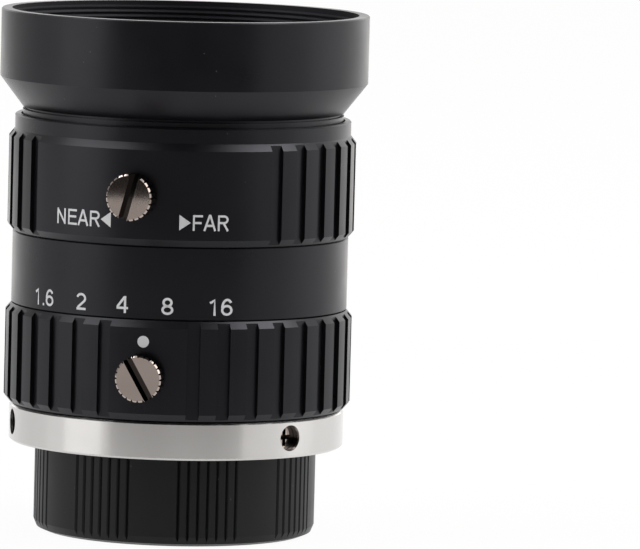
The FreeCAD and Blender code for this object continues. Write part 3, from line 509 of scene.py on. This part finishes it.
TOP = 1 - HALF_PEN
LETTERS = {
    "1": (0.76, [[(0.13, 0.74), (0.27, 0.81), (0.41, 0.93), (0.41, 0.0)]]),
    ".": (0.36, [[(0.18, 0.0), (0.18, PEN)]]),
    "2": (0.78, [arc(0.38, 0.68, 0.28, TOP - 0.68, 165, -35) + [(0.14, PEN)],
                 [(0.06, HALF_PEN), (0.71, HALF_PEN)]]),
    "4": (0.78, [[(0.55, 0.0), (0.55, 1.0)], [(0.52, 0.95), (0.07, 0.35)], [(0.03, 0.3), (0.74, 0.3)]]),
    "6": (0.78, [arc(0.39, 0.32, 0.28, 0.32 - HALF_PEN, 0, 360),
                 arc(0.41, 0.45, 0.3, TOP - 0.45, 180, 40)]),
    "8": (0.78, [arc(0.39, 0.72, 0.23, TOP - 0.72, 0, 360), arc(0.39, 0.29, 0.28, 0.29 - HALF_PEN, 0, 360)]),
    "N": (1.0, [[(0.18, 0.0), (0.18, 1.0)], [(0.18, 0.93), (0.82, 0.07)], [(0.82, 0.0), (0.82, 1.0)]]),
    "E": (0.93, [[(0.86, TOP), (0.18, TOP), (0.18, HALF_PEN), (0.88, HALF_PEN)],
                 [(0.18, 0.53), (0.82, 0.53)]]),
    "A": (0.9, [[(0.07, 0.0), (0.42, 0.96), (0.48, 0.96), (0.83, 0.0)], [(0.17, 0.33), (0.73, 0.33)]]),
    "R": (0.97, [[(0.18, 0.0), (0.18, TOP)] + arc(0.55, 0.72, 0.25, TOP - 0.72, 90, -90) + [(0.18, 0.515)],
                 [(0.52, 0.5), (0.84, 0.0)]]),
    "F": (0.85, [[(0.18, 0.0), (0.18, TOP), (0.8, TOP)], [(0.18, 0.5), (0.72, 0.5)]]),
}


def pen_line(line):
    """The two edges of a pen's line: its points moved aside, with corners kept at full width."""
    left, right = [], []
    closed = math.dist(line[0], line[-1]) < CLOSE
    for n, point in enumerate(line):
        before = line[n - 1] if n else (line[-2] if closed else None)
        after = line[n + 1] if n + 1 < len(line) else (line[1] if closed else None)
        sides = []
        for a, b in ((before, point), (point, after)):
            if a and b and math.dist(a, b) > CLOSE:
                length = math.dist(a, b)
                sides.append(((a[1] - b[1]) / length, (b[0] - a[0]) / length))
        x = sum(side[0] for side in sides) / len(sides)
        y = sum(side[1] for side in sides) / len(sides)
        reach = HALF_PEN / max(CORNER_LIMIT, x * x + y * y)
        left.append((point[0] + x * reach, point[1] + y * reach))
        right.append((point[0] - x * reach, point[1] - y * reach))
    return left, right


def flat_words(words):
    """Points and faces of some words with a cap height of one, about the middle of their width."""
    points, faces, reach = [], [], 0.0
    for letter in words:
        width, lines = LETTERS[letter]
        for line in lines:
            left, right = pen_line(line)
            first = len(points)
            for a, b in zip(left, right):
                points += [(reach + a[0], a[1]), (reach + b[0], b[1])]
            for n in range(len(line) - 1):
                a = first + 2 * n
                faces.append((a, a + 1, a + 3, a + 2))
        reach += width
    return [(x - reach / 2, y) for x, y in points], faces


print(len(LETTERS), "letters and figures drawn")

# %% Tools for the printed marks
BAND_RADIUS = 17.0 * MM
GRIP_RADIUS = 17.55 * MM
INK_LIFT = 0.02 * MM


def wound(x, y, radius, angle):
    """The point on a cylinder for a flat point, with an angle in degrees from -Y towards +X."""
    turn = math.radians(angle) + x / radius
    lifted = radius + INK_LIFT
    return (lifted * math.sin(turn), -lifted * math.cos(turn), y)


def mesh_piece(name, points, faces, finish, body):
    """An object from points and faces, with its finish, that moves with a body of the lens."""
    mesh = bpy.data.meshes.new(name)
    mesh.from_pydata(points, [], faces)
    mesh.materials.append(finish)
    piece = bpy.data.objects.new(name, mesh)
    bpy.context.scene.collection.objects.link(piece)
    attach(piece, body)
    return piece


def printed(name, words, cap, narrow, radius, angle, height, body):
    """Words on a barrel, with a cap height, a share of the plain width, and the height of their middle."""
    letters, faces = flat_words(words)
    points = [wound(x * cap * narrow, height + (y - 0.5) * cap, radius, angle) for x, y in letters]
    mesh_piece(name, points, faces, INK, body)


def arrowhead(name, tip, base, half_height, radius, height, body):
    """A filled triangle on a barrel that points from one angle to another."""
    middle = (tip + base) / 2
    reach = math.radians(tip - base) / 2 * radius
    flat = [(reach, 0.0), (-reach, half_height), (-reach, -half_height)]
    points = [wound(x, height + y, radius, middle) for x, y in flat]
    mesh_piece(name, points, [(0, 1, 2)], INK, body)


print("printing tools ready")

# %% Aperture numbers, focus marks and the index dot
NUMBER_HEIGHT = 24.42 * MM
NUMBER_CAP = 1.7 * MM
FOCUS_HEIGHT = 32.83 * MM
FOCUS_CAP = 1.57 * MM
ARROW_HALF = 0.78 * MM
NUMBERS = (("1.6", -52.6), ("2", -34.8), ("4", -19.2), ("8", -3.8), ("16", 14.1))

for number, angle in NUMBERS:
    printed("aperture_" + number.replace(".", "_"), number, NUMBER_CAP, 1.0, BAND_RADIUS, angle,
            NUMBER_HEIGHT, "lens_body")
printed("focus_near", "NEAR", FOCUS_CAP, 0.93, GRIP_RADIUS, -35.9, FOCUS_HEIGHT, "focus_ring")
printed("focus_far", "FAR", FOCUS_CAP, 0.91, GRIP_RADIUS, 9.7, FOCUS_HEIGHT, "focus_ring")
arrowhead("focus_near_arrow", -26.9, -23.3, ARROW_HALF, GRIP_RADIUS, FOCUS_HEIGHT, "focus_ring")
arrowhead("focus_far_arrow", 3.2, -0.5, ARROW_HALF, GRIP_RADIUS, FOCUS_HEIGHT, "focus_ring")

DOT_RADIUS = 0.585 * MM
DOT_HEIGHT = 20.87 * MM
DOT_ANGLE = IRIS_SCREW[0]
DOT_POINTS = 32
dot = []
for n in range(DOT_POINTS):
    turn = 2 * math.pi * n / DOT_POINTS
    x, y = DOT_RADIUS * math.cos(turn), DOT_RADIUS * math.sin(turn)
    dot.append(wound(x, DOT_HEIGHT + y, GRIP_RADIUS, DOT_ANGLE))
mesh_piece("index_dot", dot, [tuple(range(DOT_POINTS))], INK, "iris_ring")
print(len(NUMBERS), "numbers, two words with arrows, and the dot")

# %% [markdown]
# ## The filter thread
# The hood's mouth is open to view, so its thread is real ridges: one helix of pitch 0.5 mm that
# climbs the wall. Each turn is a row of slanted faces, made point by point along the helix.

# %% Filter thread
THREAD_RADIUS = 17.5 * MM
THREAD_PITCH = 0.5 * MM
THREAD_DEPTH = 0.1 * MM
THREAD_STEPS = 120
THREAD_LOW = 48.55 * MM
THREAD_HIGH = 52.6 * MM


def thread_ridge(name, radius, low, high, pitch, depth, body):
    """A helical ridge that stands in from a bore's wall and runs out at both ends."""
    turns = (high - low) / pitch - 1
    count = int(turns * THREAD_STEPS)
    points = []
    for step in range(count + 1):
        turn = 2 * math.pi * step / THREAD_STEPS
        height = low + pitch * step / THREAD_STEPS
        tip = radius - depth * min(1, step / THREAD_STEPS, (count - step) / THREAD_STEPS)
        for reach, rise in ((radius, 0.06), (tip, 0.44), (tip, 0.56), (radius, 0.94)):
            points.append((reach * math.sin(turn), -reach * math.cos(turn), height + rise * pitch))
    faces = []
    for step in range(count):
        for side in range(3):
            a = 4 * step + side
            faces.append((a, a + 1, a + 5, a + 4))
    piece = mesh_piece(name, points, faces, FINISHES["black_anodised"], body)
    return piece


ridge = thread_ridge("filter_thread_ridge", THREAD_RADIUS, THREAD_LOW, THREAD_HIGH, THREAD_PITCH,
                     THREAD_DEPTH, "lens_barrel")
print("thread of", len(ridge.data.polygons), "faces")

# %% [markdown]
# ## Floor and light
# The photograph is a cut-out on white. A pale floor runs out to the horizon, and a sheet of soft light stands
# on each side, so that its black rings show two bright edges. Two more hang overhead for the bevels.
# The floor goes with the rear cap, which still stands on it when it is pulled off, and is clear from below.
# In front of the white table the studio was dark: the polished screw heads show that edge. Dark, grey and
# bright cards stand round the lens and overhead, and only reflections can see them.

# %% Floor
FLOOR_RADIUS = 3.0
FLOOR_SIDES = 64
FLOOR_GAP = 0.02 * MM
FLOOR_WHITE = 0.95


def sight(tree):
    """A mask of the rays by which the camera, gloss and glass see a thing, without those that light it."""
    path = node(tree, "ShaderNodeLightPath")
    seen = maths(tree, "MAXIMUM", path.outputs["Is Camera Ray"], path.outputs["Is Glossy Ray"])
    return maths(tree, "MAXIMUM", seen, path.outputs["Is Transmission Ray"])


def pale_floor():
    """A wide pale disc just under the cap. It keeps the soft shade of the lens on it."""
    mesh = bpy.data.meshes.new("floor")
    made = bmesh.new()
    bmesh.ops.create_circle(made, cap_ends=True, radius=FLOOR_RADIUS, segments=FLOOR_SIDES)
    bmesh.ops.translate(made, verts=made.verts, vec=(0, 0, -FLOOR_GAP))
    made.normal_update()
    # The back of the disc is the clear side, so its face has to look up.
    if made.faces[:][0].normal.z < 0:
        bmesh.ops.reverse_faces(made, faces=made.faces)
    made.to_mesh(mesh)
    made.free()
    floor = bpy.data.objects.new("floor", mesh)
    bpy.context.scene.collection.objects.link(floor)
    finish, tree, shader = material("pale_floor")
    grain = node(tree, "ShaderNodeTexNoise", {"Scale": 40.0, "Detail": 3.0})
    pale = node(tree, "ShaderNodeMix", {
        0: grain.outputs[0], 6: (0.84, 0.84, 0.84, 1), 7: (0.87, 0.87, 0.87, 1),
    }, data_type="RGBA")
    tree.links.new(pale.outputs[2], shader.inputs["Base Color"])
    shader.inputs["Roughness"].default_value = 0.9
    shader.inputs["Specular IOR Level"].default_value = 0.1
    share = maths(tree, "MULTIPLY", sight(tree), FLOOR_WHITE)
    white = node(tree, "ShaderNodeEmission", {"Color": (1, 1, 1, 1), "Strength": 1.0})
    shown = node(tree, "ShaderNodeMixShader", {0: share, 1: shader.outputs[0], 2: white.outputs[0]})
    behind = node(tree, "ShaderNodeNewGeometry").outputs["Backfacing"]
    clear = node(tree, "ShaderNodeBsdfTransparent")
    through = node(tree, "ShaderNodeMixShader", {0: behind, 1: shown.outputs[0], 2: clear.outputs[0]})
    tree.links.new(through.outputs[0], tree.nodes["Material Output"].inputs["Surface"])
    mesh.materials.append(finish)
    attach(floor, "rear_cap")


pale_floor()
print("floor", 2 * FLOOR_RADIUS, "m across")

# %% Cards that only reflections see
TABLE_NEAR = 0.06
TABLE_EDGE = 0.363
WALL_DISTANCE = 1.3
WALL_HEIGHT = 1.3
WALL_STEPS = 20
CARD_LIFT = 1 * MM
TABLE_LIFT = 0.5 * MM
CARD_TONES = ((0.9, 0.88, 0.86), (1.1, 1.09, 1.08))


def card(name, points, faces, shade):
    """A sheet of a given grey, bright of itself, that shows in reflections and nowhere else."""
    mesh = bpy.data.meshes.new(name)
    mesh.from_pydata(points, [], faces)
    sheet = bpy.data.objects.new(name, mesh)
    bpy.context.scene.collection.objects.link(sheet)
    finish, tree, shader = material(name)
    weave = node(tree, "ShaderNodeTexNoise", {"Scale": 12.0, "Detail": 2.0})
    darker, lighter = ((*(part * shade for part in tone), 1) for tone in CARD_TONES)
    grey = node(tree, "ShaderNodeMix", {0: weave.outputs[0], 6: darker, 7: lighter}, data_type="RGBA")
    tree.links.new(grey.outputs[2], shader.inputs["Emission Color"])
    shader.inputs["Emission Strength"].default_value = 1.0
    shader.inputs["Base Color"].default_value = (0, 0, 0, 1)
    shader.inputs["Specular IOR Level"].default_value = 0.0
    mesh.materials.append(finish)
    sheet.visible_camera = False
    sheet.visible_diffuse = False
    sheet.visible_transmission = False
    sheet.visible_shadow = False


def curved_wall(name, start, end, height, shade, low=CARD_LIFT, foot=None):
    """A wall round the lens between two angles and heights. A foot runs in from it to a straight edge."""
    points, faces = [], []
    for step in range(WALL_STEPS + 1):
        turn = math.radians(start + (end - start) * step / WALL_STEPS)
        x, y = math.sin(turn), -math.cos(turn)
        if foot:
            points.append((foot * x / -y, -foot, CARD_LIFT))
        points.append((WALL_DISTANCE * x, WALL_DISTANCE * y, low))
        points.append((WALL_DISTANCE * x, WALL_DISTANCE * y, height))
    row = 3 if foot else 2
    for step in range(WALL_STEPS):
        for rise in range(row - 1):
            a = row * step + rise
            faces.append((a, a + 1, a + row + 1, a + row))
    card(name, points, faces, shade)


def flat_card(name, across, along, height, shade):
    """A level sheet between two distances each way."""
    (left, right), (near, far) = across, along
    corners = [(left, near, height), (right, near, height), (right, far, height), (left, far, height)]
    card(name, corners, [(0, 1, 2, 3)], shade)


curved_wall("dark_studio", -46, 46, WALL_HEIGHT, 0.03, foot=TABLE_EDGE)
curved_wall("grey_side", -150, -99, WALL_HEIGHT, 0.42)
flat_card("dark_roof", (-0.42, 0.42), (-1.0, 0.1), 1.35, 0.03)
flat_card("grey_table", (-0.35, 0.3), (-TABLE_EDGE, -TABLE_NEAR), TABLE_LIFT, 0.58)
flat_card("bright_table", (-0.3, 0.9), (0.2, 1.2), TABLE_LIFT, 1.7)
curved_wall("bright_backdrop", 112, 208, 0.6, 1.7, low=0.22)
curved_wall("bright_side", 47, 70, 1.9, 2.6, low=0.3)
print("seven cards placed")

# %% World and lamps
WORLD_LIGHT = 0.6


def soft_world():
    """A grey studio that looks white where it is seen directly."""
    world = bpy.data.worlds.new("studio")
    bpy.context.scene.world = world
    world.use_nodes = True
    tree = world.node_tree
    plain = tree.nodes["Background"]
    plain.inputs["Color"].default_value = (1, 1, 1, 1)
    plain.inputs["Strength"].default_value = WORLD_LIGHT
    white = node(tree, "ShaderNodeBackground", {"Color": (1, 1, 1, 1), "Strength": 1.0})
    mixed = node(tree, "ShaderNodeMixShader", {0: sight(tree), 1: plain.outputs[0], 2: white.outputs[0]})
    tree.links.new(mixed.outputs[0], tree.nodes["World Output"].inputs["Surface"])


def softbox(name, place, size, power):
    """An area lamp aimed at the middle of the lens."""
    data = bpy.data.lights.new(name, "AREA")
    data.shape = "RECTANGLE"
    data.size, data.size_y = size
    data.energy = power
    lamp = bpy.data.objects.new(name, data)
    lamp.location = place
    lamp.rotation_mode = "QUATERNION"
    lamp.rotation_quaternion = (MIDDLE - Vector(place)).to_track_quat("-Z", "Y")
    bpy.context.scene.collection.objects.link(lamp)


soft_world()
softbox("left_box", (-0.5, -0.22, 0.12), (0.3, 0.45), 0.72)
softbox("right_box", (0.55, 0.05, 0.15), (0.25, 0.5), 0.3)
softbox("top_left_box", (-0.5, -0.05, 0.65), (0.45, 0.45), 1.8)
softbox("top_right_box", (0.5, -0.05, 0.65), (0.45, 0.45), 3.3)

# %% [markdown]
# ## Last setting
# The picture keeps its plain colours.

# %% Plain colours
bpy.context.scene.view_settings.view_transform = "Standard"
